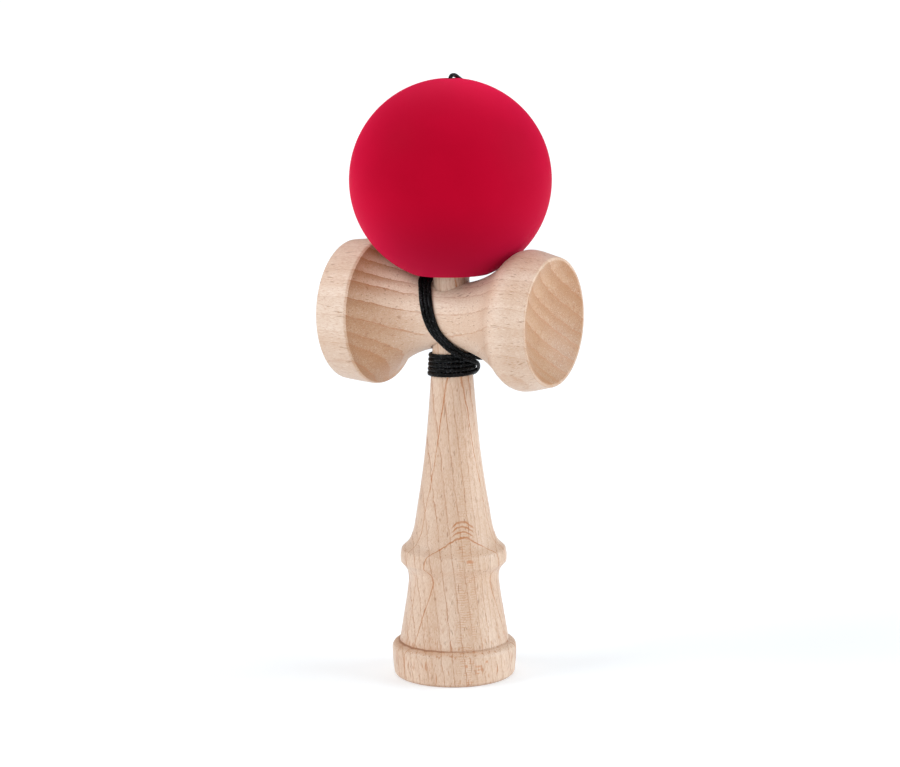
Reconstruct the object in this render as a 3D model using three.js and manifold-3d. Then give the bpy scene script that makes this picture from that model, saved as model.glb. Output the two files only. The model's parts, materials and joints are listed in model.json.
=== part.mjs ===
// Kendama: a turned stick, a turned crosspiece pushed on to it, a wooden ball on the spike,
// and the string that ties them together. Millimetres, +Z up the stick, X along the crosspiece,
// origin at the middle of the foot. The front, where the string crosses the waist, faces -Y.
import * as THREE from 'three';
import { mergeVertices } from 'three/addons/utils/BufferGeometryUtils.js';
import Module from 'manifold-3d';

const wasm = await Module();
wasm.setup();

// Foot and base cup
const FOOT_RADIUS = 18.85;
const FOOT_LOW_RADIUS = 18.3;
const FOOT_RIM_RADIUS = 17.6;
const FOOT_SHOULDER = 2;
const FOOT_SHOULDER_HEIGHT = 8.3;
const BASE_CUP_RADIUS = 16;
const BASE_CUP_DEPTH = 5.5;

// Collar between the foot and the handle
const COLLAR_LOW = 34.6;
const COLLAR_HIGH = 38.9;
const COLLAR_RADIUS = 16.05;

// Stick above the handle
const NECK_RADIUS = 5.9;
const SPIKE_RADIUS = 5.4;
const TIP_RADIUS = 3.1;
const TIP_HEIGHT = 156.5;

// Crosspiece
const CROSS_HEIGHT = 109.6;
const CROSS_HALF_LENGTH = 34.6;
const WAIST_RADIUS = 9.65;
const BELL_CURVE = 30;
const BIG_EDGE_X = -24.3;
const BIG_FACE_RADIUS = 21.2;
const BIG_CUP_RADIUS = 20;
const BIG_CUP_DEPTH = 7.2;
const SMALL_BELL_END_X = 21.6;
const SMALL_SHOULDER_X = 26;
const SMALL_SHOULDER_RADIUS = 20.85;
const SMALL_FACE_RADIUS = 19;
const SMALL_CUP_RADIUS = 18;
const SMALL_CUP_DEPTH = 6;

// Ball
const BALL_RADIUS = 30;
const BALL_HEIGHT = 150;
const MOUTH_RADIUS = 11;
const BORE_RADIUS = 8.5;
const BORE_TOP = 158.5;
const POCKET_RADIUS = 4.3;
const POCKET_LOW = 162.5;
const POCKET_TOP = 168.5;
const BALL_STRING_HOLE_RADIUS = 1.7;
const STRING_HOLE_MOUTH_RADIUS = 2.6;
const STRING_HOLE_MOUTH_DEPTH = 1.2;

// String, bead and knots
const FIT_GAP = 0.3;
const STRING_RADIUS = 0.55;
const STRING_SIDES = 8;
const STRING_PITCH = 1.45;
const STAND_OFF = STRING_RADIUS + FIT_GAP + 0.1;
const STRING_HOLE_RADIUS = 1.6;
const KNOT_RADIUS = 1.5;
const COIL_INNER_RADIUS = 6.65;
const COIL_OUTER_RADIUS = 7.5;
const COIL_LOW = 91.4;
const COIL_HIGH = 97.4;
const COIL_BEVEL = 0.4;
const BEAD_RADIUS = 3.2;
const BEAD_LOW = 163.2;
const BEAD_HIGH = 168;
const BEAD_HOLE_RADIUS = 1.1;
const BEAD_SHOULDER = 1.2;
const BEAD_KNOT_HEIGHT = BEAD_LOW - FIT_GAP - KNOT_RADIUS;
const KNOT_POCKET_FLOOR = -2.1;
const ANCHOR_KNOT_Y = KNOT_POCKET_FLOOR - FIT_GAP - KNOT_RADIUS;

const TURNED_SIDES = 36;
const SMALL_SIDES = 16;

const beech = new THREE.MeshStandardMaterial({ color: 0xdcc0a2, roughness: 0.55, metalness: 0 });
const lacquer = new THREE.MeshStandardMaterial({ color: 0xb80a2c, roughness: 0.45, metalness: 0 });
const braid = new THREE.MeshStandardMaterial({ color: 0x0c0c0e, roughness: 0.7, metalness: 0 });
const beadWood = new THREE.MeshStandardMaterial({ color: 0xd2ac80, roughness: 0.5, metalness: 0 });

// Outlines are lists of (distance from the axis, place along the axis).
const point = (radius, along) => new THREE.Vector2(radius, along);

const curve = (points, count) => new THREE.SplineCurve(points).getSpacedPoints(count);

function arc(centreRadius, centreAlong, radius, from, to, count) {
  return Array.from({ length: count + 1 }, (_, i) => {
    const angle = from + ((to - from) * i) / count;
    return point(centreRadius + radius * Math.cos(angle), centreAlong + radius * Math.sin(angle));
  });
}

// A dished cup from the axis out to its rim: `inward` is +1 where the cup opens towards -axis.
function dish(rimAlong, rimRadius, depth, inward, count) {
  const sphere = (rimRadius ** 2 + depth ** 2) / (2 * depth);
  const rimAngle = Math.asin((sphere - depth) / sphere);
  const centre = rimAlong + inward * (depth - sphere);
  return arc(0, centre, sphere, (inward * Math.PI) / 2, inward * rimAngle, count).map(
    (p, i) => (i === 0 ? point(0, p.y) : p),
  );
}

const waistRadius = (x) => WAIST_RADIUS + BELL_CURVE - Math.sqrt(BELL_CURVE ** 2 - x ** 2);

function turned(outline, sides) {
  const geometry = new THREE.LatheGeometry(outline, sides);
  return geometry.rotateX(Math.PI / 2);
}

function toSolid(geometry) {
  const bare = geometry.clone();
  bare.deleteAttribute('normal');
  bare.deleteAttribute('uv');
  const merged = mergeVertices(bare, 1e-4);
  return new wasm.Manifold(
    new wasm.Mesh({
      numProp: 3,
      vertProperties: new Float32Array(merged.attributes.position.array),
      triVerts: new Uint32Array(merged.index.array),
    }),
  );
}

function toGeometry(solid) {
  const mesh = solid.getMesh();
  const geometry = new THREE.BufferGeometry();
  geometry.setAttribute('position', new THREE.BufferAttribute(mesh.vertProperties, 3));
  geometry.setIndex(new THREE.BufferAttribute(mesh.triVerts, 1));
  geometry.computeVertexNormals();
  return geometry;
}

// A rod along Y between two places, for drilled holes.
function rodAlongY(radius, from, to, z) {
  const rod = new THREE.CylinderGeometry(radius, radius, to - from, SMALL_SIDES);
  return rod.translate(0, (from + to) / 2, z);
}

function stick() {
  const outline = [
    ...dish(0, BASE_CUP_RADIUS, BASE_CUP_DEPTH, 1, 6),
    point(FOOT_RIM_RADIUS, 0),
    point(FOOT_LOW_RADIUS, FOOT_LOW_RADIUS - FOOT_RIM_RADIUS),
    ...arc(
      FOOT_RADIUS - FOOT_SHOULDER,
      FOOT_SHOULDER_HEIGHT,
      FOOT_SHOULDER,
      0,
      (4 * Math.PI) / 9,
      4,
    ),
    ...curve([point(16.5, 10.7), point(15.3, 18), point(14.3, 24), point(13.65, 29)], 4),
    ...curve([point(13.7, 31), point(14.2, 33.2), point(15.4, COLLAR_LOW)], 3),
    point(COLLAR_RADIUS, (COLLAR_LOW + COLLAR_HIGH) / 2),
    point(15.75, COLLAR_HIGH),
    ...curve([point(13.6, 41), point(12.1, 44.6), point(10.8, 52), point(9.5, 60)], 5),
    ...curve([point(8.2, 70), point(7.25, 80), point(6.6, 88), point(NECK_RADIUS, 98)], 4),
    point(SPIKE_RADIUS, 121),
    point(TIP_RADIUS, TIP_HEIGHT - TIP_RADIUS),
    ...arc(0, TIP_HEIGHT - TIP_RADIUS, TIP_RADIUS, Math.PI / 8, (3 * Math.PI) / 8, 2),
    point(0, TIP_HEIGHT),
  ];
  const reach = 2 * NECK_RADIUS;
  const stringHole = rodAlongY(STRING_HOLE_RADIUS, -reach, reach, CROSS_HEIGHT);
  const pocketRadius = KNOT_RADIUS + FIT_GAP;
  const knotPocket = rodAlongY(pocketRadius, -reach, KNOT_POCKET_FLOOR, CROSS_HEIGHT);
  const solid = toSolid(turned(outline, TURNED_SIDES))
    .subtract(toSolid(stringHole))
    .subtract(toSolid(knotPocket));
  return toGeometry(solid);
}

function crosspiece() {
  const bellOutline = (from, to, count) =>
    Array.from({ length: count + 1 }, (_, i) => {
      const x = from + ((to - from) * i) / count;
      return point(waistRadius(x), x);
    });
  const outline = [
    ...dish(-CROSS_HALF_LENGTH, BIG_CUP_RADIUS, BIG_CUP_DEPTH, 1, 6),
    point(BIG_FACE_RADIUS, -CROSS_HALF_LENGTH),
    ...bellOutline(BIG_EDGE_X, SMALL_BELL_END_X, 16),
    point(SMALL_SHOULDER_RADIUS - 0.5, SMALL_SHOULDER_X - 2),
    point(SMALL_SHOULDER_RADIUS, SMALL_SHOULDER_X),
    point(SMALL_FACE_RADIUS, CROSS_HALF_LENGTH),
    ...dish(CROSS_HALF_LENGTH, SMALL_CUP_RADIUS, SMALL_CUP_DEPTH, -1, 6).reverse(),
  ];
  const body = turned(outline, TURNED_SIDES).rotateY(Math.PI / 2);
  body.translate(0, 0, CROSS_HEIGHT);
  const boreTop = SPIKE_RADIUS + FIT_GAP;
  const boreBottom = NECK_RADIUS + FIT_GAP;
  const boreLength = 4 * WAIST_RADIUS;
  const bore = new THREE.CylinderGeometry(boreTop, boreBottom, boreLength, TURNED_SIDES);
  bore.rotateX(Math.PI / 2).translate(0, 0, CROSS_HEIGHT);
  const stringHole = rodAlongY(STRING_HOLE_RADIUS, 0, 2 * WAIST_RADIUS, CROSS_HEIGHT);
  const solid = toSolid(body).subtract(toSolid(bore)).subtract(toSolid(stringHole));
  return toGeometry(solid);
}

function ball() {
  const mouth = Math.acos(MOUTH_RADIUS / BALL_RADIUS);
  const crown = Math.acos(STRING_HOLE_MOUTH_RADIUS / BALL_RADIUS);
  const throat = BALL_HEIGHT + BALL_RADIUS - STRING_HOLE_MOUTH_DEPTH;
  const mouthHeight = BALL_HEIGHT - BALL_RADIUS * Math.sin(mouth);
  const outline = [
    ...arc(0, BALL_HEIGHT, BALL_RADIUS, -mouth, crown, 18),
    point(BALL_STRING_HOLE_RADIUS, throat),
    point(BALL_STRING_HOLE_RADIUS, POCKET_TOP),
    point(POCKET_RADIUS, POCKET_TOP),
    point(POCKET_RADIUS, POCKET_LOW),
    point(BORE_RADIUS, BORE_TOP),
    point(BORE_RADIUS, mouthHeight + MOUTH_RADIUS - BORE_RADIUS),
  ];
  outline.push(outline[0].clone());
  return turned(outline, TURNED_SIDES);
}

function bead() {
  const middle = (BEAD_LOW + BEAD_HIGH) / 2;
  const outline = [
    point(BEAD_HOLE_RADIUS, BEAD_LOW),
    point(BEAD_RADIUS - BEAD_SHOULDER, BEAD_LOW),
    point(BEAD_RADIUS, middle),
    point(BEAD_RADIUS - BEAD_SHOULDER, BEAD_HIGH),
    point(BEAD_HOLE_RADIUS, BEAD_HIGH),
    point(BEAD_HOLE_RADIUS, BEAD_LOW),
  ];
  return turned(outline, SMALL_SIDES);
}

// One half turn of the string round the waist, from the top of the crosspiece to its underside:
// place along the crosspiece, angle round it from the top, extra height over the wood.
const FRONT_HALF_TURN = [
  [-7.9, 0, 0],
  [-6.9, 20, 0],
  [-5.0, 41, 0],
  [-3.4, 63, 0],
  [-1.8, 88, 0],
  [-0.2, 112, 0],
  [2.3, 134, 0.15],
  [5.6, 153, 0.5],
  [8.6, 180, 0.3],
];
// The same way down the back, lifted over the string that leaves the crosspiece there.
const BACK_HALF_TURN = [
  [-6.9, -20, 0],
  [-5.0, -41, 0],
  [-3.4, -63, 0.4],
  [-1.8, -88, 1.3],
  [-0.2, -112, 2.4],
  [2.3, -134, 2.3],
  [5.6, -153, 1.0],
];

function wrapPoint([x, degrees, lift], shift) {
  const angle = THREE.MathUtils.degToRad(degrees);
  const reach = waistRadius(x + shift) + STAND_OFF + lift;
  const height = CROSS_HEIGHT + reach * Math.cos(angle);
  return new THREE.Vector3(x + shift, -reach * Math.sin(angle), height);
}

// Up from the end of the coil, over its right side, to the first crossing of the front.
const RISE_FROM_COIL = [
  [4.0, 7.6, 93.1],
  [7.5, 4.3, 94.3],
  [8.6, 0.2, 95.5],
  [7.5, -4.3, 96.9],
  [4.9, -7.1, 98.8],
];

// Out of the stick through the back of the crosspiece and down to the top of the coil.
const EXIT_ROUTE = [
  [0, KNOT_POCKET_FLOOR, CROSS_HEIGHT],
  [0, 8.2, CROSS_HEIGHT],
  [0, 9.7, 109.2],
  [0, 10.7, 108.1],
  [0, 11.1, 106.7],
  [0, 10.6, 104.8],
  [0, 9.3, 102.8],
  [0, 7.9, 100.6],
  [0, 7.2, 97.8],
];

// Off the waist beside the spike and up the back of the ball to its equator.
const BACK_ROUTE = [
  [-6.4, 0.5, 120.9],
  [-5.5, 3.4, 121.0],
  [-4.5, 7.0, 121.0],
  [-3.8, 11.0, 121.2],
  [-3.0, 16.6, 123.8],
  [-2.2, 22.2, 128.2],
  [-1.5, 27.0, 134.6],
  [-1.0, 30.0, 142.0],
  [-0.9, 30.95, 149.75],
];

// On over the top of the ball, into its hole and down through the bead to the stop knot.
const TOP_ROUTE = [
  [-0.9, 30.95, 150.25],
  [-1.1, 30.55, 155.2],
  [-1.5, 28.2, 162.6],
  [-1.8, 24.0, 169.4],
  [-2.0, 18.0, 175.1],
  [-2.0, 11.6, 178.75],
  [-1.6, 7.0, 180.3],
  [-0.8, 3.1, 180.9],
  [-0.4, 1.4, 180.4],
  [-0.1, 0.4, 179.4],
  [0, 0, 177.9],
  [0, 0, BEAD_KNOT_HEIGHT + KNOT_RADIUS + FIT_GAP],
];

function tube(points, steps) {
  const section = new THREE.Shape();
  for (let i = 0; i < STRING_SIDES; i += 1) {
    const angle = (2 * Math.PI * i) / STRING_SIDES;
    const corner = [STRING_RADIUS * Math.cos(angle), STRING_RADIUS * Math.sin(angle)];
    if (i === 0) section.moveTo(...corner);
    else section.lineTo(...corner);
  }
  const path = new THREE.CatmullRomCurve3(points, false, 'centripetal');
  return new THREE.ExtrudeGeometry(section, { steps, extrudePath: path, bevelEnabled: false });
}

const routeTube = (route, steps) => tube(route.map((p) => new THREE.Vector3(...p)), steps);

// Two whole turns and a last front crossing, each shifted along by the width of the string.
function wrapTube(steps) {
  const frontUp = [...FRONT_HALF_TURN].reverse();
  const points = RISE_FROM_COIL.map((p) => new THREE.Vector3(...p));
  for (let crossing = 0; crossing < 3; crossing += 1) {
    const shift = (crossing - 1) * STRING_PITCH;
    const front = crossing === 0 ? frontUp.slice(2) : frontUp;
    points.push(...front.map((p) => wrapPoint(p, shift)));
    if (crossing === 2) break;
    BACK_HALF_TURN.forEach((p, i) => {
      const moved = Math.max(0, i - 3) / (BACK_HALF_TURN.length - 3);
      points.push(wrapPoint(p, shift + moved * STRING_PITCH));
    });
  }
  return tube(points, steps);
}

function coil() {
  const outline = [
    point(COIL_INNER_RADIUS, COIL_LOW),
    point(COIL_OUTER_RADIUS - COIL_BEVEL, COIL_LOW),
    point(COIL_OUTER_RADIUS, COIL_LOW + COIL_BEVEL),
    point(COIL_OUTER_RADIUS, COIL_HIGH - COIL_BEVEL),
    point(COIL_OUTER_RADIUS - COIL_BEVEL, COIL_HIGH),
    point(COIL_INNER_RADIUS, COIL_HIGH),
    point(COIL_INNER_RADIUS, COIL_LOW),
  ];
  return turned(outline, TURNED_SIDES);
}

const knot = () => new THREE.IcosahedronGeometry(KNOT_RADIUS, 1);

const kendama = new THREE.Group();

function addPiece(name, geometry, material, position = [0, 0, 0]) {
  const piece = new THREE.Mesh(geometry, material);
  piece.name = name;
  piece.position.set(...position);
  kendama.add(piece);
}

addPiece('ken_stick', stick(), beech);
addPiece('sarado_crosspiece', crosspiece(), beech);
addPiece('tama_ball', ball(), lacquer);
addPiece('swivel_bead', bead(), beadWood);
addPiece('anchor_knot', knot(), braid, [0, ANCHOR_KNOT_Y, CROSS_HEIGHT]);
addPiece('bead_knot', knot(), braid, [0, 0, BEAD_KNOT_HEIGHT]);
addPiece('string_exit', routeTube(EXIT_ROUTE, 9), braid);
addPiece('string_coil', coil(), braid);
addPiece('string_wrap', wrapTube(45), braid);
addPiece('string_back', routeTube(BACK_ROUTE, 12), braid);
addPiece('string_top', routeTube(TOP_ROUTE, 14), braid);

export default kendama;
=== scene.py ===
"""Kendama: turned beech stick and crosspiece, soft-touch crimson ball, black braided string.

Outlines and routes are in millimetres in the CAD model's frame, and make_mesh turns them into
metres. +Z runs up the stick, X along the crosspiece, and the front faces -Y.
"""

import json
import math

import bpy
import numpy as np
from mathutils import Matrix, Vector


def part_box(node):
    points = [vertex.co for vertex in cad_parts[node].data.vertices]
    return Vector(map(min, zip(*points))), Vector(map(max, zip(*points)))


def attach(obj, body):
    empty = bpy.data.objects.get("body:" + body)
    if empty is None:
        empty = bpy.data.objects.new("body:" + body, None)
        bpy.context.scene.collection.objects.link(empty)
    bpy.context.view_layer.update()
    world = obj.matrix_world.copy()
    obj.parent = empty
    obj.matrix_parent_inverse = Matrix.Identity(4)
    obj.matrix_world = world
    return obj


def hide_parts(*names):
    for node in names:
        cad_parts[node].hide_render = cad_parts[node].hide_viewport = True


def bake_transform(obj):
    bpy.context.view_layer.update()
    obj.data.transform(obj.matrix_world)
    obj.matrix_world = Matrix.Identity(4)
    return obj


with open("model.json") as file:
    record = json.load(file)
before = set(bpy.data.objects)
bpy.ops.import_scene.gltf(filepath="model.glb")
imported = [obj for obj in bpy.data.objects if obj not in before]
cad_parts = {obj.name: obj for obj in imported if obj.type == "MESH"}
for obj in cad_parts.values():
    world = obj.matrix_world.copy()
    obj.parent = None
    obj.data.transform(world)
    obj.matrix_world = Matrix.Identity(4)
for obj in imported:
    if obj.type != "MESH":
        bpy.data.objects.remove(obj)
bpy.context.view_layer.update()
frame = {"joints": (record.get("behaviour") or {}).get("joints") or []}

MM = 0.001

# ---------------------------------------------------------------- camera

CAMERA_PLACE = (0.37469, -0.64970, 0.21076)
CAMERA_RIGHT = (0.8665, 0.4991, -0.0088)
CAMERA_UP = (-0.0725, 0.1432, 0.9870)
CAMERA_BACK = (0.4938, -0.8547, 0.1602)
CAMERA_AZIMUTH = 30  # degrees round from the front towards +X

camera_data = bpy.data.cameras.new("camera")
camera_data.sensor_width = 36
camera_data.lens = 101.5
camera = bpy.data.objects.new("camera", camera_data)
axes = Matrix((CAMERA_RIGHT, CAMERA_UP, CAMERA_BACK)).transposed()
camera.matrix_world = Matrix.Translation(CAMERA_PLACE) @ axes.to_4x4()
bpy.context.scene.collection.objects.link(camera)
bpy.context.scene.camera = camera


# ---------------------------------------------------------------- meshes

CURVE_SAMPLES = 40
TURNED_SIDES = 160
STICK_SIDES = 144
SMALL_SIDES = 64
KNOT_SIDES = 12
FILLET_SHARE = 0.45  # the most of a straight stretch that one fillet takes


def make_mesh(name, points, faces, smooth_angle=40):
    """An object from points in millimetres, shaded smooth up to that many degrees."""
    mesh = bpy.data.meshes.new(name)
    mesh.from_pydata((np.asarray(points) * MM).tolist(), [], faces)
    mesh.validate()
    mesh.shade_smooth()
    mesh.set_sharp_from_angle(angle=math.radians(smooth_angle))
    piece = bpy.data.objects.new(name, mesh)
    bpy.context.scene.collection.objects.link(piece)
    return piece


def grid_faces(rows, columns):
    """Quads between rows of points, each row closed into a ring."""
    return [
        (
            r * columns + c,
            r * columns + (c + 1) % columns,
            (r + 1) * columns + (c + 1) % columns,
            (r + 1) * columns + c,
        )
        for r in range(rows - 1)
        for c in range(columns)
    ]


def cap_faces(first, sides, hub, low):
    """Triangles from a ring of points to its hub, at the low or the high end of a solid."""
    edges = [(first + c, first + (c + 1) % sides) for c in range(sides)]
    return [(b, a, hub) if low else (a, b, hub) for a, b in edges]


def turned(outline, sides):
    """Points and faces of an outline of (radius, along) turned round Z, from its low end to its
    high end with the outside on the right. An end on the axis becomes a single point."""
    outline = [tuple(p) for p in outline]
    angles = np.arange(sides) * 2 * math.pi / sides
    poles = [int(outline[end][0] == 0) for end in (0, -1)]
    rings = outline[poles[0] : len(outline) - poles[1]]
    points = [(r * math.cos(a), r * math.sin(a), z) for r, z in rings for a in angles]
    faces = grid_faces(len(rings), sides)
    if poles[0]:
        points.append((0, 0, outline[0][1]))
        faces += cap_faces(0, sides, len(points) - 1, low=True)
    if poles[1]:
        points.append((0, 0, outline[-1][1]))
        faces += cap_faces((len(rings) - 1) * sides, sides, len(points) - 1, low=False)
    return np.array(points), faces


def closed(outline, sides):
    """The same for an outline that closes on itself, such as a bead with a hole."""
    points, faces = turned(outline, sides)
    last = (len(outline) - 1) * sides
    faces += [(last + c, last + (c + 1) % sides, (c + 1) % sides, c) for c in range(sides)]
    return points, faces


def spaced(line, step):
    """The same line with its points moved to even steps along it."""
    gaps = np.linalg.norm(np.diff(line[:, :3], axis=0), axis=1)
    along = np.concatenate([[0], np.cumsum(gaps)])
    at = np.linspace(0, along[-1], max(2, round(along[-1] / step) + 1))
    return np.stack([np.interp(at, along, column) for column in line.T], axis=1)


def smooth_line(points, step):
    """A curve through the points, in even steps. It doesn't swing out where they lie unevenly,
    because each gap counts by the square root of its length."""
    points = np.asarray(points, float)
    gaps = np.sqrt(np.linalg.norm(np.diff(points[:, :3], axis=0), axis=1))
    slope = np.empty_like(points)
    chord = np.diff(points, axis=0) / gaps[:, None]
    share = (gaps[:-1] / (gaps[:-1] + gaps[1:]))[:, None]
    slope[1:-1] = chord[:-1] * (1 - share) + chord[1:] * share
    slope[0], slope[-1] = chord[0], chord[-1]
    fine = []
    for i, gap in enumerate(gaps):
        t = np.linspace(0, 1, CURVE_SAMPLES, endpoint=i == len(gaps) - 1)[:, None]
        fine.append(
            (2 * t**3 - 3 * t**2 + 1) * points[i]
            + (t**3 - 2 * t**2 + t) * gap * slope[i]
            + (3 * t**2 - 2 * t**3) * points[i + 1]
            + (t**3 - t**2) * gap * slope[i + 1]
        )
    return spaced(np.concatenate(fine), step)


def spline(points, step=0.6):
    """A smooth stretch of an outline through (radius, along) points."""
    return [tuple(p[[0, 2]]) for p in smooth_line([(r, 0, z) for r, z in points], step)]


def arc(centre_radius, centre_along, radius, degrees):
    """A round stretch of an outline, its angles measured up from straight outwards."""
    return [
        (
            centre_radius + radius * math.cos(math.radians(a)),
            centre_along + radius * math.sin(math.radians(a)),
        )
        for a in degrees
    ]


def fillet(corners, count=5):
    """An outline from corners (radius, along, fillet radius), each corner rounded off."""
    corners = [np.array(c, float) for c in corners]
    outline = [corners[0][:2]]
    for before, here, after in zip(corners, corners[1:], corners[2:]):
        corner, rounding = here[:2], here[2]
        a, b = before[:2] - corner, after[:2] - corner
        a_length, b_length = np.linalg.norm(a), np.linalg.norm(b)
        reach = min(rounding, FILLET_SHARE * a_length, FILLET_SHARE * b_length)
        start, end = corner + a / a_length * reach, corner + b / b_length * reach
        for t in np.linspace(0, 1, count):
            outline.append((1 - t) ** 2 * start + 2 * t * (1 - t) * corner + t * t * end)
    outline.append(corners[-1][:2])
    return outline


def dish(rim_along, rim_radius, depth, inward, count=18):
    """A spherical cup from the axis out to its rim, deepest `depth` from the rim's plane.
    inward is 1 where it is hollowed towards the outline's high end, and -1 the other way."""
    sphere = (rim_radius**2 + depth**2) / (2 * depth)
    rim = math.asin(rim_radius / sphere)
    return [
        (
            sphere * math.sin(rim * i / count),
            rim_along + inward * (depth - sphere + sphere * math.cos(rim * i / count)),
        )
        for i in range(count + 1)
    ]


# ---------------------------------------------------------------- dimensions


def node_box(node):
    """A CAD node's lowest and highest corners at rest, in millimetres."""
    return np.round(np.array(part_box(node)) / MM, 3)


cross_box = node_box("sarado_crosspiece")
stick_box = node_box("ken_stick")
bead_box = node_box("swivel_bead")
joints = {joint["name"]: joint for joint in frame["joints"]}

CROSS_HEIGHT = cross_box[:, 2].mean()
CROSS_HALF_LENGTH = cross_box[1, 0]
CROSS_CENTRE = np.array((0, 0, CROSS_HEIGHT))
WAIST_RADIUS = 9.65
BELL_CURVE = 30
BIG_CUP_RADIUS = 19.8
BIG_CUP_DEPTH = 7.2
SMALL_CUP_RADIUS = 18
SMALL_CUP_DEPTH = 6
STICK_BORE = [(0, -40), (6.2, -40), (6.2, -9), (5.66, 9.6), (5.6, 40), (0, 40)]
STRING_HOLE = [(0, 0), (1.35, 0), (1.35, 8.6), (2.6, 10.6), (2.6, 14), (0, 14)]

FOOT_RADIUS = stick_box[1, 0]
FOOT_SHOULDER = 2
FOOT_SHOULDER_HEIGHT = 8.3
BASE_CUP_RADIUS = 15.6
BASE_CUP_DEPTH = 5.5
NECK_RADIUS = 5.9
NECK_HEIGHT = 98
NECK_TAPER = 0.07
TIP_HEIGHT = stick_box[1, 2]
TIP_RADIUS = 3.1
TIP_CENTRE = TIP_HEIGHT - TIP_RADIUS

BALL_RADIUS = 30
BALL_HEIGHT = round(joints["tama_spin"]["pos_m"][2] / MM, 3)
BALL_CENTRE = np.array((0, 0, BALL_HEIGHT))
MOUTH_RADIUS = 11.4
BORE_RADIUS = 8.5
POCKET_RADIUS = 4.3
BALL_STRING_HOLE_RADIUS = 1.7
BALL_STRING_MOUTH_RADIUS = 2.9
BEAD_LOW, BEAD_HIGH = bead_box[:, 2]
BEAD_MIDDLE = (BEAD_LOW + BEAD_HIGH) / 2
BEAD_RADIUS = bead_box[1, 0]
BEAD_HOLE_RADIUS = 1.1


def waist_radius(x):
    """The crosspiece's radius between its two bells, that far from its middle."""
    return WAIST_RADIUS + BELL_CURVE - math.sqrt(BELL_CURVE**2 - x**2)


# ---------------------------------------------------------------- string

BRAID_WIDTH = 1.36
BRAID_THICKNESS = 1.04
PLAIT_PITCH = 5.2
STRANDS_EACH_WAY = 4
MEAN_RELIEF = 0.75
STRING_PITCH = 1.38
STAND_OFF = BRAID_THICKNESS / 2 + 0.02
COIL_TOP = 98.7
COIL_PITCH = 1.36
COIL_TURNS = 5.08
COIL_TURN_POINTS = 12
COIL_GAP = 0.05

# From the anchor in the stick out through the crosspiece's small hole and down over its back
# edge, then on to the coil.
EXIT_ROUTE = [
    (0, -2.4, CROSS_HEIGHT),
    (0, 3.0, CROSS_HEIGHT),
    (0, 8.0, CROSS_HEIGHT),
    (0, 9.15, 109.37),
    (0, 10.12, 108.72),
    (0, 10.77, 107.75),
    (0, 11.0, 106.6),
    (-0.2, 10.85, 105.0),
    (-0.5, 9.9, 103.0),
]
EXIT_BEND_CENTRE = np.array((0, 4, 104))
EXIT_TO_COIL = [(-0.3, 8.5, 101.2), (0.9, 7.2, 99.7)]
RISE_FROM_COIL = [
    (5.6, 4.7, 92.7),
    (7.5, 2.8, 94.2),
    (8.6, 0.0, 95.9),
    (8.0, -3.6, 97.3),
    (6.1, -6.2, 98.7),
    (3.7, -7.4, 100.2),
]

# The middle one of the turns round the waist, from its underside up the front to its top and
# down the back: place along the waist, degrees round it from the top, extra height over it.
FRONT_HALF_TURN = [
    (8.6, 180, 0.3),
    (5.6, 153, 0.5),
    (2.3, 134, 0.15),
    (-0.2, 112, 0),
    (-1.8, 88, 0),
    (-3.4, 63, 0),
    (-5.0, 41, 0),
    (-6.9, 20, 0),
    (-7.9, 0, 0),
]
BACK_HALF_TURN = [
    (-6.9, -20, 0),
    (-5.0, -41, 0),
    (-3.4, -63, 0.4),
    (-1.8, -88, 1.3),
    (-0.2, -112, 2.4),
    (3.2, -134, 2.3),
    (6.8, -156, 1.0),
]
CROSSINGS = 3
FIRST_FRONT_POINT = 2  # the string comes up from the coil to this point of the first crossing
LAST_STRAIGHT_POINT = 3  # the back half turn moves over to the next crossing after this point
# More height for each crossing at some places, where the three lie in a bundle.
BUNDLING = {134: (0.35, 0.18, 0), 153: (1.25, 0.65, 0), 180: (0.7, 0.4, 0)}

# From the last crossing up behind the ball, over its top and down to the knot under the bead.
BACK_ROUTE = [
    (-5.9, 3.2, 120.9),
    (-4.5, 7.0, 121.0),
    (-3.8, 11.0, 121.2),
    (-3.0, 16.6, 123.8),
    (-2.2, 22.2, 128.2),
    (-1.5, 27.0, 134.6),
    (-1.0, 29.8, 142.0),
    (-0.9, 30.75, 149.75),
]
TOP_ROUTE = [
    (-1.1, 30.3, 155.2),
    (-1.5, 27.95, 162.4),
    (-1.8, 23.8, 169.2),
    (-2.0, 18.3, 174.5),
    (-2.0, 13.0, 177.75),
    (-1.8, 8.6, 179.6),
    (-1.4, 5.2, 180.6),
    (-1.0, 2.8, 180.5),
    (-0.6, 1.4, 179.4),
    (-0.3, 0.7, 177.8),
    (0, 0.2, 175.6),
    (0, 0, 172.5),
    (0, 0, 167.0),
    (0, 0, 163.2),
]
POINTS_ON_BALL = 6  # of the top route, before it bends into the ball's hole
TOP_BEND_CENTRE = np.array((0, 2.5, 178))


def around_stick(x, y, z):
    """A place on the string with its flat side facing the stick's axis."""
    return (x, y, z), np.array((x, y, 0))


def around_waist(x, degrees, lift, shift):
    """A place on the string with its flat side on the waist, moved along by a shift."""
    angle = math.radians(degrees)
    out = np.array((0, -math.sin(angle), math.cos(angle)))
    reach = waist_radius(x + shift) + STAND_OFF + lift
    return CROSS_CENTRE + (x + shift, 0, 0) + out * reach, out


def coil_points():
    """The turns round the neck, from the top down."""
    for i in range(1, round(COIL_TURNS * COIL_TURN_POINTS) + 1):
        turn = i / COIL_TURN_POINTS
        angle = math.radians(90 - 360 * turn)
        height = COIL_TOP - COIL_PITCH * turn
        neck = NECK_RADIUS + (NECK_HEIGHT - height) * NECK_TAPER
        reach = neck + BRAID_THICKNESS / 2 + COIL_GAP
        yield around_stick(reach * math.cos(angle), reach * math.sin(angle), height)


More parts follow.
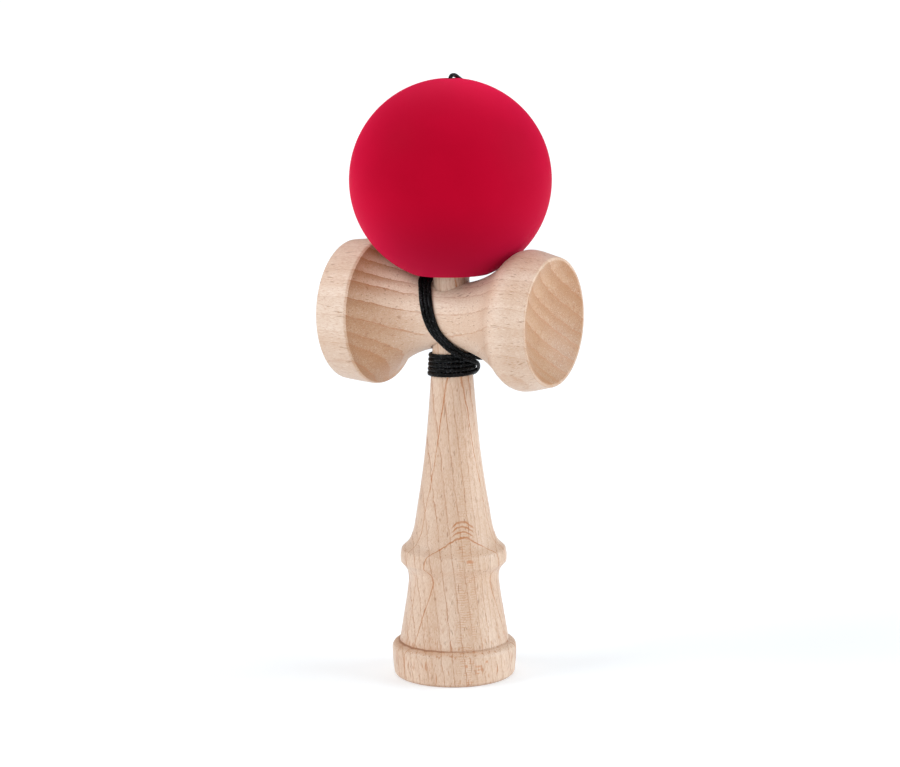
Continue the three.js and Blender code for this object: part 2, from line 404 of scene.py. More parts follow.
def crossing_points():
    """The turns round the waist, which cross its front side by side."""
    for crossing in range(CROSSINGS):
        shift = (crossing - 1) * STRING_PITCH
        first = FIRST_FRONT_POINT if crossing == 0 else 0
        for x, degrees, lift in FRONT_HALF_TURN[first:]:
            bundled = BUNDLING.get(degrees, (0, 0, 0))[crossing]
            yield around_waist(x, degrees, lift + bundled, shift)
        if crossing < CROSSINGS - 1:
            for i, (x, degrees, lift) in enumerate(BACK_HALF_TURN):
                late = max(0, i - LAST_STRAIGHT_POINT)
                moved = late / (len(BACK_HALF_TURN) - LAST_STRAIGHT_POINT)
                yield around_waist(x, degrees, lift, shift + moved * STRING_PITCH)


def string_points():
    """The string's route from its anchor knot to its bead knot, each point with the
    direction across its flat sides."""
    route = [(p, np.array(p) - EXIT_BEND_CENTRE) for p in EXIT_ROUTE]
    route += [around_stick(*p) for p in EXIT_TO_COIL]
    route += coil_points()
    route += [around_stick(*p) for p in RISE_FROM_COIL]
    route += crossing_points()
    route.append((BACK_ROUTE[0], np.array((0, 0, 1))))
    on_ball = BACK_ROUTE[1:] + TOP_ROUTE[:POINTS_ON_BALL]
    route += [(p, BALL_CENTRE - p) for p in on_ball]
    route += [(p, TOP_BEND_CENTRE - p) for p in TOP_ROUTE[POINTS_ON_BALL:]]
    return np.array([[*p, *(out / np.linalg.norm(out))] for p, out in route])


def braid_relief(around, along):
    """Height from 0 to 1 of the plait at an angle round it and a length along it."""
    turns = 2 * math.pi * along / PLAIT_PITCH
    right = STRANDS_EACH_WAY * (around + turns)
    left = STRANDS_EACH_WAY * (around - turns)

    def ridge(here, other, sign):
        """The strands that run one way, which go over and under those that run the other."""
        index = np.round(here / (2 * math.pi))
        bow = (here - 2 * math.pi * index) / math.pi
        over = np.cos(other / 2) * (1 - 2 * (index % 2))
        return 0.65 * np.sqrt(np.maximum(0, 1 - bow**2)) + 0.35 * sign * over

    return np.maximum(ridge(right, left, 1), ridge(left, right, -1))


def string_mesh(name, route, sides, step, relief):
    """A flattened plait along a route of points with the directions across its flat sides, and
    its middle line. relief is how much of its thickness the strands stand out."""
    line = smooth_line(route, step)
    centre, out = line[:, :3], line[:, 3:]
    ahead = np.gradient(centre, axis=0)
    ahead /= np.linalg.norm(ahead, axis=1)[:, None]
    out = out - (out * ahead).sum(1)[:, None] * ahead
    out /= np.linalg.norm(out, axis=1)[:, None]
    side = np.cross(ahead, out)
    around = np.arange(sides) * 2 * math.pi / sides
    along = np.arange(len(centre))[:, None] * step
    height = 1 + relief * (braid_relief(around[None, :], along) - MEAN_RELIEF)
    across = (BRAID_WIDTH / 2 * np.cos(around) * height)[..., None] * side[:, None]
    up = (BRAID_THICKNESS / 2 * np.sin(around) * height)[..., None] * out[:, None]
    points = (centre[:, None] + across + up).reshape(-1, 3)
    count = len(points)
    points = np.concatenate([points, centre[[0, -1]]])
    faces = grid_faces(len(centre), sides)
    faces += cap_faces(0, sides, count, low=True)
    faces += cap_faces(count - sides, sides, count + 1, low=False)
    return make_mesh(name, points, faces, smooth_angle=75), centre


def stop_knot(name, node):
    """A stopper knot in a CAD node's place, a small trefoil of the plait pulled tight."""
    low, high = node_box(node)
    turn = np.linspace(0, 2 * math.pi, 73)
    widest = 3
    trefoil = np.stack(
        [
            np.sin(turn) + 2 * np.sin(2 * turn),
            np.cos(turn) - 2 * np.cos(2 * turn),
            -1.4 * np.sin(3 * turn),
        ],
        axis=1,
    )
    trefoil *= ((high - low)[2] / 2 - BRAID_THICKNESS / 2) / widest
    # A little is added to each direction, so that none of them is zero.
    route = np.concatenate([trefoil + (low + high) / 2, trefoil + (0, 0, 0.001)], axis=1)
    return string_mesh(name, route, sides=KNOT_SIDES, step=0.16, relief=0.12)[0]


string, string_line = string_mesh(
    "braided_string", string_points(), sides=24, step=0.17, relief=0.3
)

anchor = stop_knot("anchor_knot_tied", "anchor_knot")
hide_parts("anchor_knot")
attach(anchor, "ken")
bead_stop = stop_knot("bead_knot_tied", "bead_knot")
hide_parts("bead_knot")
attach(bead_stop, "string_end")

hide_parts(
    "string_exit", "string_coil", "string_wrap", "string_back", "string_top"
)
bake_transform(string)

# ---------------------------------------------------------------- turned wood

# The crosspiece is turned along Z and laid along X, and its string hole points to the back.
LAY_ALONG_X = Matrix.Rotation(math.pi / 2, 4, "Y")
LAY_TOWARDS_BACK = Matrix.Rotation(-math.pi / 2, 4, "X")
WOOD_SMOOTH_ANGLE = 35


def ken_outline():
    """Up the stick from the middle of its base cup to its tip."""
    cup = dish(0, BASE_CUP_RADIUS, BASE_CUP_DEPTH, 1)
    rim = fillet([cup[-1] + (0,), (15.9, 0, 0.3), (17.6, 0, 0.35), (18.3, 0.7, 0.6),
                  (18.7, 4.5, 2), (FOOT_RADIUS, FOOT_SHOULDER_HEIGHT, 0)])
    shoulder = arc(FOOT_RADIUS - FOOT_SHOULDER, FOOT_SHOULDER_HEIGHT, FOOT_SHOULDER,
                   range(0, 81, 8))
    body = spline([(16.5, 10.7), (15.3, 18), (14.3, 24), (13.65, 29)])
    underside = spline([(13.7, 31), (13.95, 32.2), (14.6, 33.4), (15.5, 34.45)], 0.4)
    band = fillet([(15.5, 34.45, 0), (16.0, 35.0, 0.4), (16.12, 36.9, 1.5),
                   (15.72, 38.95, 0.25), (14.6, 40.0, 0)])
    neck = spline([(14.6, 40.0), (13.6, 41), (12.1, 44.6), (10.8, 52), (9.5, 60),
                   (8.2, 70), (7.25, 80), (6.6, 88), (NECK_RADIUS, NECK_HEIGHT), (5.4, 121),
                   (4.35, 137), (TIP_RADIUS, TIP_CENTRE)])
    tip = arc(0, TIP_CENTRE, TIP_RADIUS, range(10, 90, 10)) + [(0, TIP_HEIGHT)]
    middle = body + [(13.62, 30)] + underside + band[1:] + neck[1:]
    return cup + rim[1:] + shoulder[1:] + middle + tip


def sarado_outline():
    """Along the crosspiece from the big cup to the small one."""
    big = dish(-CROSS_HALF_LENGTH, BIG_CUP_RADIUS, BIG_CUP_DEPTH, 1)
    edge = fillet([big[-1] + (0,), (20.15, -CROSS_HALF_LENGTH, 0.3), (21.2, -34.55, 0.5),
                   (21.75, -29, 1), (22.07, -24.5, 0.45), (21.7, -23.6, 0)])
    bells = [(waist_radius(x), x) for x in np.arange(-23.1, 21.1, 0.6)]
    shoulder = spline([(18.85, 21.6), (20.3, 23.7), (20.85, 25.8), (20.75, 27.6),
                       (19.2, 34.0)], 0.4)
    small = dish(CROSS_HALF_LENGTH, SMALL_CUP_RADIUS, SMALL_CUP_DEPTH, -1)[::-1]
    rim = fillet([(19.2, 34.0, 0), (19.05, CROSS_HALF_LENGTH, 0.4),
                  (18.3, CROSS_HALF_LENGTH, 0.3), small[0] + (0,)])
    return big + edge[1:] + bells + shoulder + rim[1:] + small[1:]


def ball_outline():
    """From the lip of the mouth up the outside to the string hole, and back down the bore."""
    lip = math.degrees(math.acos(MOUTH_RADIUS / BALL_RADIUS))
    hole = math.degrees(math.acos(BALL_STRING_MOUTH_RADIUS / BALL_RADIUS))
    outside = arc(0, BALL_HEIGHT, BALL_RADIUS, np.linspace(-lip, hole, 90))
    bore = fillet([
        outside[-1] + (0,), (2.55, 179.85, 0.25), (BALL_STRING_HOLE_RADIUS, 178.8, 0.3),
        (BALL_STRING_HOLE_RADIUS, 168.5, 0.3), (POCKET_RADIUS, 168.5, 0.3),
        (POCKET_RADIUS, 162.5, 0.4), (BORE_RADIUS, 158.5, 0.6), (BORE_RADIUS, 124.3, 0.8),
        (10.6, 122.3, 0.5), outside[0] + (0,)], 4)
    return outside + bore[1:-1]


def bead_outline():
    """From the middle of the hole down, round the outside and back down the hole's upper half."""
    return fillet([
        (BEAD_HOLE_RADIUS, BEAD_MIDDLE, 0), (BEAD_HOLE_RADIUS, BEAD_LOW, 0.2),
        (2.0, BEAD_LOW, 0.6), (3.05, BEAD_LOW + 1.1, 0.8), (BEAD_RADIUS, BEAD_MIDDLE, 0.8),
        (3.05, BEAD_HIGH - 1.1, 0.8), (2.0, BEAD_HIGH, 0.6), (BEAD_HOLE_RADIUS, BEAD_HIGH, 0.2),
        (BEAD_HOLE_RADIUS, BEAD_MIDDLE, 0)], 6)[:-1]


def rotated(points, turn):
    """The points turned by a rotation matrix."""
    return points @ np.array(turn.to_3x3()).T


def cut(piece, name, outline, turn):
    """Takes a turned cutter at the crosspiece's middle away from a piece, for good."""
    points, faces = turned(outline, SMALL_SIDES)
    cutter = make_mesh(name, rotated(points, turn), faces)
    cutter.matrix_world = Matrix.Translation(CROSS_CENTRE * MM)
    boolean = piece.modifiers.new("cut", "BOOLEAN")
    boolean.operation, boolean.solver, boolean.object = "DIFFERENCE", "EXACT", cutter
    bpy.context.view_layer.update()
    solved = piece.evaluated_get(bpy.context.evaluated_depsgraph_get())
    mesh = bpy.data.meshes.new_from_object(solved)
    piece.modifiers.clear()
    piece.data = mesh
    bpy.data.objects.remove(cutter)


ken = make_mesh("turned_ken", *turned(ken_outline(), STICK_SIDES), WOOD_SMOOTH_ANGLE)
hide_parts("ken_stick")
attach(ken, "ken")

sarado_points, sarado_faces = turned(sarado_outline(), TURNED_SIDES)
sarado_points = rotated(sarado_points, LAY_ALONG_X) + CROSS_CENTRE
sarado = make_mesh("turned_sarado", sarado_points, sarado_faces, WOOD_SMOOTH_ANGLE)
cut(sarado, "bore", STICK_BORE, Matrix.Identity(4))
cut(sarado, "string_hole", STRING_HOLE, LAY_TOWARDS_BACK)
sarado.data.set_sharp_from_angle(angle=math.radians(WOOD_SMOOTH_ANGLE))
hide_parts("sarado_crosspiece")
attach(sarado, "ken")

tama = make_mesh("lacquered_tama", *closed(ball_outline(), TURNED_SIDES))
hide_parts("tama_ball")
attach(tama, "tama")

bead = make_mesh("turned_bead", *closed(bead_outline(), SMALL_SIDES))
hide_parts("swivel_bead")
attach(bead, "bead")

# ---------------------------------------------------------------- materials


def srgb(red, green, blue):
    """A linear colour from 8-bit display values."""
    return tuple(
        (c / 12.92 if c <= 0.04045 else ((c + 0.055) / 1.055) ** 2.4)
        for c in (red / 255, green / 255, blue / 255)
    ) + (1,)


class Shader:
    """A material under construction. Each call adds a node and gives its main output. Places
    are in millimetres, and a socket can be given a number, a colour or another socket."""

    def __init__(self, name, **surface):
        self.material = bpy.data.materials.new(name)
        self.material.use_nodes = True
        self.tree = self.material.node_tree
        self.surface = self.tree.nodes["Principled BSDF"]
        for socket, value in surface.items():
            self.surface.inputs[socket.replace("_", " ")].default_value = value
        coordinates = self.tree.nodes.new("ShaderNodeTexCoord").outputs["Object"]
        self.place = self.vector("SCALE", coordinates, scale=1 / MM)

    def put(self, socket, value):
        """Links an output to an input socket, or sets it to a number or a colour."""
        if isinstance(value, bpy.types.NodeSocket):
            self.tree.links.new(value, socket)
        else:
            socket.default_value = value

    def set(self, socket, value):
        """The same for the surface's input of that name."""
        self.put(self.surface.inputs[socket], value)

    def node(self, kind, *values, **settings):
        """A node with its first inputs filled in order, apart from those given as None."""
        node = self.tree.nodes.new("ShaderNode" + kind)
        for key, value in settings.items():
            setattr(node, key, value)
        for socket, value in zip(node.inputs, values):
            if value is not None:
                self.put(socket, value)
        return node

    def math(self, operation, *values, clamp=False):
        """A sum of single numbers, such as MULTIPLY or MULTIPLY_ADD."""
        return self.node("Math", *values, operation=operation, use_clamp=clamp).outputs[0]

    def product(self, first, *rest):
        """All of the values multiplied."""
        for value in rest:
            first = self.math("MULTIPLY", first, value)
        return first

    def without(self, value):
        """One minus the value."""
        return self.math("SUBTRACT", 1.0, value)

    def distance(self, value, place):
        """How far a value is from a place on its scale, on either side."""
        return self.math("ABSOLUTE", self.math("SUBTRACT", value, place))

    def vector(self, operation, a, b=None, scale=None):
        """A sum of places and directions, which may give a single number."""
        node = self.node("VectorMath", a, b, operation=operation)
        if scale is not None:
            node.inputs["Scale"].default_value = scale
        return node.outputs["Value" if operation in ("DOT_PRODUCT", "LENGTH") else 0]

    def stretched(self, *factors):
        """The place with its three coordinates multiplied."""
        return self.vector("MULTIPLY", self.place, factors)

    def along(self, *direction):
        """The place's distance in a direction."""
        return self.vector("DOT_PRODUCT", self.place, direction)

    def noise(self, place, scale, detail=2.0, rough=0.5):
        """Noise round 0.5, with that many spots to a millimetre of the place it is given."""
        return self.node("TexNoise", place, None, scale, detail, rough).outputs["Fac"]

    def span(self, value, low, high, to_low=0.0, to_high=1.0, smooth=True):
        """The value taken from low..high to to_low..to_high, and held there."""
        node = self.node("MapRange", value, low, high, to_low, to_high)
        node.interpolation_type = "SMOOTHSTEP" if smooth else "LINEAR"
        return node.outputs[0]

    def blend(self, share, a, b, mode="MIX"):
        """Colour a with that share of colour b in it."""
        node = self.node("Mix", data_type="RGBA", blend_type=mode)
        for socket, value in zip((node.inputs[0], node.inputs[6], node.inputs[7]), (share, a, b)):
            self.put(socket, value)
        return node.outputs[2]

    def bump(self, height, depth, strength):
        """Adds relief, with height from 0 to 1 over a depth in millimetres."""
        node = self.node("Bump")
        node.inputs["Strength"].default_value = strength
        node.inputs["Distance"].default_value = depth * MM
        self.put(node.inputs["Height"], height)
        self.tree.links.new(node.outputs[0], self.surface.inputs["Normal"])

    def give(self, piece, slot):
        """Makes this a piece's only material. The slot is not used."""
        piece.data.materials.clear()
        piece.data.materials.append(self.material)


# ---------------------------------------------------------------- beech

BEECH_PALE = srgb(250, 232, 217)
BEECH_LIGHT = srgb(240, 216, 197)
BEECH_MID = srgb(227, 196, 172)
BEECH_SHADE = srgb(214, 176, 145)
BEECH_LINE = srgb(182, 112, 58)
BEECH_FLECK = srgb(158, 104, 66)
LATE_WOOD = srgb(190, 138, 92)
CROSSCUT_RING = srgb(174, 116, 62)
END_GRAIN = srgb(218, 191, 160)
RAY_FLECK = srgb(190, 122, 70)
FOOT_FLECK = srgb(196, 118, 60)
FOOT_CONTACT_SHADE = srgb(150, 108, 78)
TOOL_GLOW_AND_CREASE_SHADE = srgb(196, 138, 92)
TOOL_BURN_AND_CREASE_SHADE = srgb(150, 92, 50)
PAINTED_LIGHT_WAIST = srgb(252, 230, 208)
STICK_TONE = srgb(240, 236, 231)
FAR_SIDE_TONE = srgb(240, 234, 229)
UNDERSIDE_PAINTED_SHADE = srgb(231, 229, 226)


def camera_side(degrees, tilt=0.0):
    """A level direction that many degrees to the right of the one from the stick towards the
    photo's camera, with a tilt upwards. It is fixed in the wood."""
    a = math.radians(CAMERA_AZIMUTH + degrees)
    return (math.sin(a), -math.cos(a), tilt)


def growth(s, place, marks):
    """How far through its growth ring a place is, and a number from 0 to 1 for that ring, from
    the places of the rings' edges."""
    low, high = marks[0], marks[-1]
    ramp = s.node("ValToRGB", s.span(place, low, high, smooth=False))
    stops = ramp.color_ramp.elements
    for mark in marks[1:-1]:
        stops.new((mark - low) / (high - low))
    for i, stop in enumerate(stops):
        stop.color = (i / (len(marks) - 1),) * 3 + (1,)
    phase = s.math("MULTIPLY", ramp.outputs[0], len(marks) - 1)
    year = s.node("TexWhiteNoise", noise_dimensions="1D")
    s.put(year.inputs["W"], s.math("FLOOR", phase))
    return s.math("FRACT", phase), year.outputs[0]


def beech(name, grain, rings, marks, late=0.25, line=0.8, width=0.1, ring_colour=LATE_WOOD,
          under=None, over=None):
    """Turned beech. grain is the axis along the fibres, and rings gives the coordinate along
    which marks are the places of the growth rings' edges. late is how dark a ring grows, line
    how dark its edge is and width how much of the ring the edge takes. under changes the
    wood before its ring lines are drawn, and over adds what lies over them."""
    s = Shader(name, Specular_IOR_Level=0.65, Sheen_Weight=0.14, Sheen_Roughness=0.35)

    def stretched(along, across):
        """The place multiplied by one factor along the fibres and another across them."""
        return s.stretched(*(along if axis == grain else across for axis in "XYZ"))

    # Broad patches of tone, and a sway that keeps every line from being straight.
    fibres = stretched(0.07, 1)
    shiver = s.noise(stretched(0.16, 0.4), 1.0, 5, 0.62)
    sway = s.math("MULTIPLY_ADD", shiver, 1.5, -0.75)
    patches = s.noise(fibres, 0.12, 3)
    colour = s.blend(s.span(patches, 0.3, 0.7), BEECH_LIGHT, BEECH_MID)

    # Growth rings, each darkening towards its broken edge.
    within, year = growth(s, s.math("ADD", rings(s), sway), marks)
    broken = s.span(s.noise(fibres, 0.9, 3), 0.3, 0.62, 0.25, 1)
    edge = s.product(s.span(within, 1 - width, 1 - 0.25 * width),
                     s.span(within, 1.0, 1 - 0.12 * width),
                     broken, s.span(year, 0, 1, 0.55, 1))
    dark = s.product(s.span(within, 0.15, 1 - 0.5 * width), late,
                     s.span(year, 0, 1, 1.3, 0.7, smooth=False))
    if under is not None:
        colour, dark, line = under(s, colour, dark, line)
    colour = s.blend(dark, colour, ring_colour)
    colour = s.blend(s.product(edge, line), colour, BEECH_LINE)

    # Fine fibres, with short dark dashes and pores.
    threads = stretched(0.28, 2.2)
    fine = s.noise(threads, 1.7, 4, 0.8)
    colour = s.blend(s.span(fine, 0.44, 0.66, 0, 0.5), colour, BEECH_SHADE)
    colour = s.blend(s.span(fine, 0.5, 0.3, 0, 0.5), colour, BEECH_PALE)
    dashes = s.noise(threads, 0.8, 1, 0.4)
    colour = s.blend(s.span(dashes, 0.65, 0.74, 0, 0.55), colour, BEECH_FLECK)
    pores = s.noise(threads, 2.9, 1, 0.4)
    colour = s.blend(s.span(pores, 0.6, 0.71, 0, 0.46), colour, BEECH_LINE)
    if over is not None:
        colour = over(s, colour, sway, broken, fibres)
    s.set("Base Color", colour)
    s.set("Roughness", s.span(fine, 0.3, 0.8, 0.42, 0.56))
    relief = s.math("MULTIPLY_ADD", pores, -0.5, s.math("MULTIPLY", fine, 0.7))
    s.bump(relief, 0.04, 0.6)
    return s


# ---------------------------------------------------------------- the stick's wood

KEN_RINGS = (-16.6, -14.4, -12.2, -10.1, -7.4, -5.8, -2.7, 0.5, 3.9, 7.2, 9.7, 11.8, 13.2,
             14.8, 17.3, 19.4, 22.1, 24.8, 27.3, 30.4, 34)
# Place to the right, height, half width and half height of each fleck on the stick's front.
KEN_FLECKS = (
    (7.1, 6.4, 1.4, 0.42),
    (7.6, 5.3, 0.9, 0.36),
    (6.9, 4.3, 0.8, 0.3),
    (3.4, 6.6, 0.5, 0.6),
    (9.6, 7.5, 0.4, 0.5),
    (4.9, 37.8, 1.2, 0.55),
)
NEST_ARCS = (6.25, 5.76, 5.36)


def seam(s, direction, at, width, sway):
    """A thin line where a single ring's edge breaks the surface."""
    place = s.math("ADD", s.along(*direction), sway)
    return s.span(s.distance(place, at), width, width * 0.3)


def ken_seams(s, beside, height, sway):
    """The long seams down the stick, and a nest of arcs over the collar."""
    lean = s.math("MULTIPLY", sway, 0.6)
    seams = [
        seam(s, camera_side(6.5), 6.0, 0.14, lean),
        seam(s, camera_side(12.5, -0.12), 6.9, 0.17, lean),
        seam(s, camera_side(186, 0.05), 9.5, 0.24, sway),
        seam(s, camera_side(150, 0.1), 8.0, 0.2, sway),
    ]
    nest = s.product(s.span(s.distance(beside, 2.7), 3.8, 2.4), s.span(height, 41, 43))
    for at in NEST_ARCS:
        arc_line = seam(s, camera_side(13, -0.12), at, 0.12, s.math("MULTIPLY", sway, 0.35))
        seams.append(s.product(arc_line, nest))
    return seams


def ken_figure(s, colour, sway, broken, fibres):
    """What only the stick has over its rings: seams, the ripples and flecks of a radial cut
    down its front, dashes on the foot, painted contact shade at the floor, and the line that
    the turning tool left over it, darkened by painted shade in the crease above the foot."""
    colour = s.blend(1.0, colour, STICK_TONE, "MULTIPLY")
    height, beside = s.along(0, 0, 1), s.along(*camera_side(90))
    for line in ken_seams(s, beside, height, sway):
        share = s.product(line, s.math("MULTIPLY_ADD", broken, 0.45, 0.5))
        colour = s.blend(share, colour, BEECH_LINE)

    # Ripples in a strip down the front, and flecks.
    strip = s.product(s.span(s.distance(beside, 3.6), 4.0, 1.6), s.span(height, 60, 32, 0.25, 1))
    wave = s.math("SINE", s.math("MULTIPLY_ADD", height, 8.6, s.math("MULTIPLY", sway, 9)))
    patch = s.noise(s.stretched(0.5, 0.5, 0.4), 1.0)
    ripple = s.product(s.span(wave, 0.55, 1), s.span(patch, 0.44, 0.56), strip)
    colour = s.blend(s.math("MULTIPLY", ripple, 0.6), colour, RAY_FLECK)

    front = s.span(s.along(*camera_side(0)), 6, 9)
    swayed, leaned = s.math("ADD", beside, sway), s.math("MULTIPLY_ADD", sway, 0.6, height)
    for right, up, wide, tall in KEN_FLECKS:
        spot = s.product(s.span(s.distance(swayed, right), wide, wide * 0.6),
                         s.span(s.distance(leaned, up), tall, tall * 0.4))
        share = s.product(spot, front, s.math("MULTIPLY_ADD", broken, 0.45, 0.2))
        colour = s.blend(share, colour, FOOT_FLECK)

    # Upright dashes, mostly on the foot.
    stripes = s.noise(s.vector("MULTIPLY", fibres, (1, 1, 2.4)), 1.6, 1, 0.3)
    stripes = s.product(s.span(stripes, 0.6, 0.7, 0, 0.62), s.span(height, 22, 7, 0.15, 1))
    colour = s.blend(stripes, colour, BEECH_LINE)

    # Painted contact shade at the floor, and the tool's burnt line over the foot, deepened by
    # painted shade in its crease.
    colour = s.blend(s.span(height, 1.1, 0.1, 0, 0.45), colour, FOOT_CONTACT_SHADE)
    # The turning tool's burnt line and glow, darkened further as painted shade in the crease
    # where the body meets the foot.
    level = s.math("ADD", height, s.math("MULTIPLY", sway, 0.45))
    glow_and_crease_shade = s.product(s.span(level, 9.2, 10.2), s.span(level, 12.4, 10.6),
                     s.span(beside, 12, -14, 0.0, 0.35))
    burn_and_crease_shade = s.product(s.span(level, 10.25, 10.5), s.span(level, 10.95, 10.65),
                     s.span(beside, 14, -12, 0.25, 0.75))
    return s.blend(burn_and_crease_shade, s.blend(glow_and_crease_shade, colour, TOOL_GLOW_AND_CREASE_SHADE), TOOL_BURN_AND_CREASE_SHADE)


def across_plank(s):
    """Distance across the plank that the stick was turned from, whose rings are nearly flat
    and nearly upright."""
    return s.along(*camera_side(90, 0.11))


ken_wood = beech("beech_ken", "Z", across_plank, KEN_RINGS, late=0.14, width=0.15,
                 over=ken_figure)
ken_wood.give(ken, "beech")

# ---------------------------------------------------------------- the crosspiece's wood

CROSS_PITH = (0, -59, 14.6)
CROSS_RINGS = (76, 80, 84, 88, 92, 96, 98.9, 103.3, 108.6, 113.9, 117.4, 121.8, 126, 130, 134,
               138)


def from_pith(s):
    """Distance from the pith of the plank that the crosspiece was turned from."""
    offset = s.vector("SUBTRACT", s.place, CROSS_PITH)
    return s.vector("LENGTH", s.vector("MULTIPLY", offset, (0, 1, 1)))


def crosscut_share(s):
    """How far the surface is cut across the fibres: 0 on the sides, 1 in the small cup and a
    half in the big one. The small cup's rim is mostly left out, so that it stays pale as a
    painted highlight."""
    facing = s.vector("DOT_PRODUCT", s.node("TexCoord").outputs["Normal"], (1, 0, 0))
    cut_across = s.math("ADD", s.span(facing, 0.12, 0.75),
                        s.math("MULTIPLY", s.span(facing, -0.45, -1.0), 0.5))
    offset = s.vector("SUBTRACT", s.place, (0, 0, CROSS_HEIGHT))
    from_axis = s.vector("LENGTH", s.vector("MULTIPLY", offset, (0, 1, 1)))
    # The rim is left paler than the end grain round it, a painted highlight along the cup's edge.
    rim = s.product(s.span(from_axis, 17.9, 18.5), s.span(s.along(1, 0, 0), 30, 32, 0, 0.7))
    return s.product(cut_across, s.without(rim))


def crosspiece_figure(s, colour, dark, line):
    """What only the crosspiece has under its ring lines: darker end grain with dots and rays,
    painted light on the top of its waist, painted shade on its underside, and stronger rings
    where it is cut across."""
    crosscut = crosscut_share(s)
    height, off_centre = s.along(0, 0, 1), s.math("ABSOLUTE", s.along(1, 0, 0))
    colour = s.blend(crosscut, colour, END_GRAIN, "MULTIPLY")
    far_side = s.product(s.span(s.along(0, 1, 0), -4, 15, 0, 0.9), crosscut)
    colour = s.blend(far_side, colour, FAR_SIDE_TONE, "MULTIPLY")
    warm = s.product(s.span(from_pith(s), 111, 92, 0, 0.52), crosscut)
    colour = s.blend(warm, colour, LATE_WOOD)

    # Cut fibres show as dots, and rays as upright strokes.
    dots = s.noise(s.stretched(0.3, 1, 1), 2.0, 3, 0.8)
    colour = s.blend(s.product(s.span(dots, 0.5, 0.68, 0, 0.6), crosscut), colour, BEECH_LINE)
    colour = s.blend(s.product(s.span(dots, 0.48, 0.34, 0, 0.5), crosscut), colour, BEECH_MID)
    strokes = s.noise(s.stretched(0.2, 1.1, 0.26), 1.5, 3, 0.7)
    rays = s.product(s.span(strokes, 0.53, 0.66, 0, 0.62), crosscut)
    colour = s.blend(rays, colour, BEECH_LINE)

    # Painted light on the top of the waist, and painted shade on the underside.
    painted_light_on_waist = s.product(s.span(height, 107, 120, 0, 0.95), s.span(off_centre, 26, 14))
    colour = s.blend(painted_light_on_waist, colour, PAINTED_LIGHT_WAIST)
    colour = s.blend(s.span(height, 124, 90, 0, 0.9), colour, UNDERSIDE_PAINTED_SHADE, "MULTIPLY")

    # Stronger rings where they are cut across, and fainter ring lines on the bells' bands.
    dark = s.math("MULTIPLY", dark, s.math("MULTIPLY_ADD", crosscut, 3.0, 0.4), clamp=True)
    quiet = s.product(s.span(off_centre, 19, 25, 0, 0.6), s.without(crosscut))
    cut_line = s.math("MULTIPLY_ADD", crosscut, line * 0.4, line * 0.6)
    return colour, dark, s.product(cut_line, s.without(quiet))


sarado_wood = beech("beech_sarado", "X", from_pith, CROSS_RINGS, late=0.235, line=1.0,
                    width=0.12, ring_colour=CROSSCUT_RING, under=crosspiece_figure)
sarado_wood.give(sarado, "beech")

# ---------------------------------------------------------------- bead, lacquer and braid

BEAD_RINGS = (-4, -2.4, -0.9, 0.4, 1.9, 4)
CRIMSON = srgb(185, 0, 32)
CRIMSON_CLOUD = srgb(192, 0, 36)
CRIMSON_GRAIN = srgb(158, 0, 26)
CRIMSON_PAINTED_SHADE = srgb(120, 0, 18)
CRIMSON_SHEEN = srgb(255, 46, 98)
BLACK = srgb(2, 2, 2)
BRAID_PAINTED_GLINT = srgb(62, 63, 66)

bead_wood = beech("beech_bead", "Z", lambda s: s.along(1, 0.2, 0), BEAD_RINGS)
bead_wood.give(bead, "bead_wood")


def crimson_lacquer():
    """Matt soft-touch paint, faintly cloudy and grained, with painted shade darkening it towards
    its mouth.
    """
    s = Shader("soft_touch_crimson", Specular_IOR_Level=0.006, Diffuse_Roughness=1.0,
               Sheen_Weight=0.7, Sheen_Roughness=0.7, Sheen_Tint=CRIMSON_SHEEN)
    cloud = s.noise(s.place, 0.05)
    grains = s.noise(s.place, 9.0, 2, 0.6)
    colour = s.blend(s.span(cloud, 0.3, 0.7), CRIMSON, CRIMSON_CLOUD)
    colour = s.blend(s.span(grains, 0.45, 0.8, 0, 0.1), colour, CRIMSON_GRAIN)
    # Painted shade: the paint darkens towards the ball's underside and its mouth.
    low = s.span(s.along(0, 0, 1), BALL_HEIGHT - 2, BALL_HEIGHT - 31)
    colour = s.blend(s.math("MULTIPLY", low, 0.9), colour, CRIMSON_PAINTED_SHADE)
    s.set("Base Color", colour)
    s.set("Roughness", s.span(cloud, 0.3, 0.7, 0.40, 0.46))
    s.bump(grains, 0.012, 0.4)
    return s


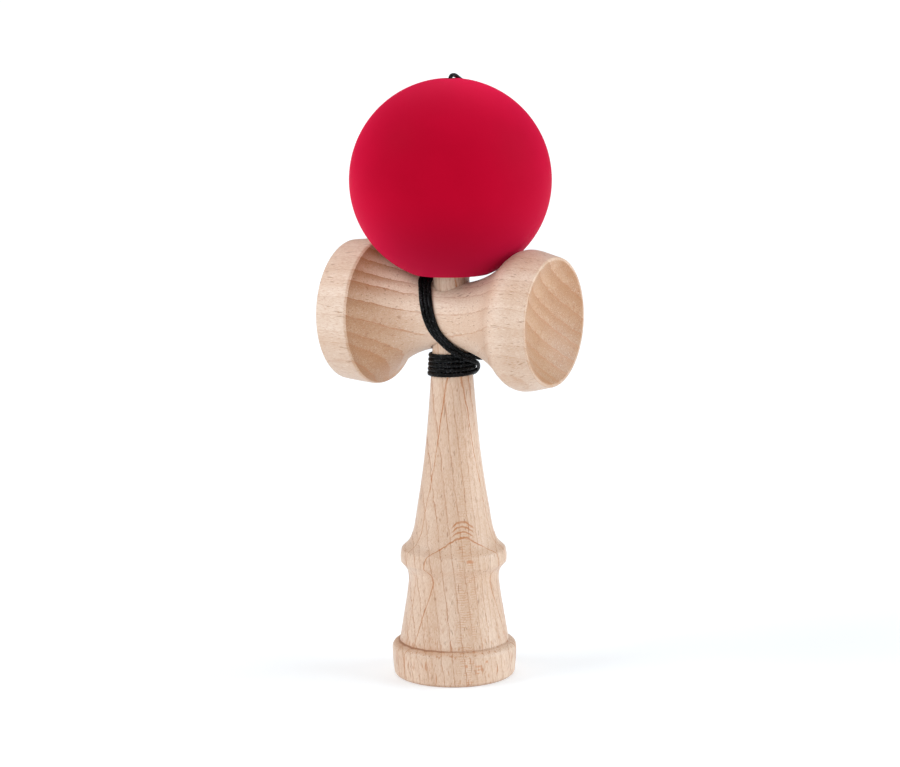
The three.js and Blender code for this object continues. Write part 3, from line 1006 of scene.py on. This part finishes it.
def black_braid():
    """Black yarn with paler threads here and there, painted glints where its strands would catch
    the light.
    """
    s = Shader("black_braid", Specular_IOR_Level=0.08)
    threads = s.noise(s.place, 2.4, 2, 0.6)
    # The paler threads are painted glints.
    s.set("Base Color", s.blend(s.span(threads, 0.54, 0.66), BLACK, BRAID_PAINTED_GLINT))
    s.set("Roughness", s.span(threads, 0.3, 0.8, 0.34, 0.5))
    s.bump(threads, 0.05, 0.5)
    return s


crimson_lacquer().give(tama, "lacquer")
cord_black = black_braid()
for piece in (string, anchor, bead_stop):
    cord_black.give(piece, "braid")

# ---------------------------------------------------------------- studio

HALF_FLOOR = 30  # metres

floor_mesh = bpy.data.meshes.new("floor")
corners = [(x * HALF_FLOOR, y * HALF_FLOOR, 0) for x, y in ((-1, -1), (1, -1), (1, 1), (-1, 1))]
floor_mesh.from_pydata(corners, [], [(0, 1, 2, 3)])
floor = bpy.data.objects.new("floor", floor_mesh)
bpy.context.scene.collection.objects.link(floor)
paper = Shader("floor_paper", Base_Color=(0.72, 0.74, 0.76, 1), Roughness=0.9,
               Specular_IOR_Level=0.1, Emission_Color=(1, 1, 1, 1), Emission_Strength=0.36)
floor_mesh.materials.append(paper.material)

world = bpy.data.worlds.new("studio")
world.use_nodes = True
background = world.node_tree.nodes["Background"]
background.inputs["Color"].default_value = (1, 1, 1, 1)
background.inputs["Strength"].default_value = 0.2
bpy.context.scene.world = world


def soft_light(name, azimuth, elevation, strength, spread, tint=(1, 1, 1)):
    """A broad light from that azimuth, in degrees from the camera's side towards its right.
    strength is what a white surface that faces it gives back."""
    data = bpy.data.lights.new(name, "SUN")
    data.color = tint
    data.energy = strength * math.pi
    data.angle = math.radians(spread)
    lamp = bpy.data.objects.new(name, data)
    a, e = math.radians(CAMERA_AZIMUTH + azimuth), math.radians(elevation)
    towards = Vector((math.sin(a) * math.cos(e), -math.cos(a) * math.cos(e), math.sin(e)))
    lamp.rotation_mode = "QUATERNION"
    lamp.rotation_quaternion = towards.to_track_quat("Z", "Y")
    bpy.context.scene.collection.objects.link(lamp)


soft_light("left_softbox", -76, 39, 0.40, 32, (0.95, 0.98, 1))
soft_light("right_softbox", 82, 22, 0.73, 50, (0.84, 0.94, 1))
soft_light("top_back_softbox", 180, 62, 0.28, 60)
soft_light("front_fill", -22, 12, 0.29, 50)

bpy.context.scene.view_settings.view_transform = "Standard"
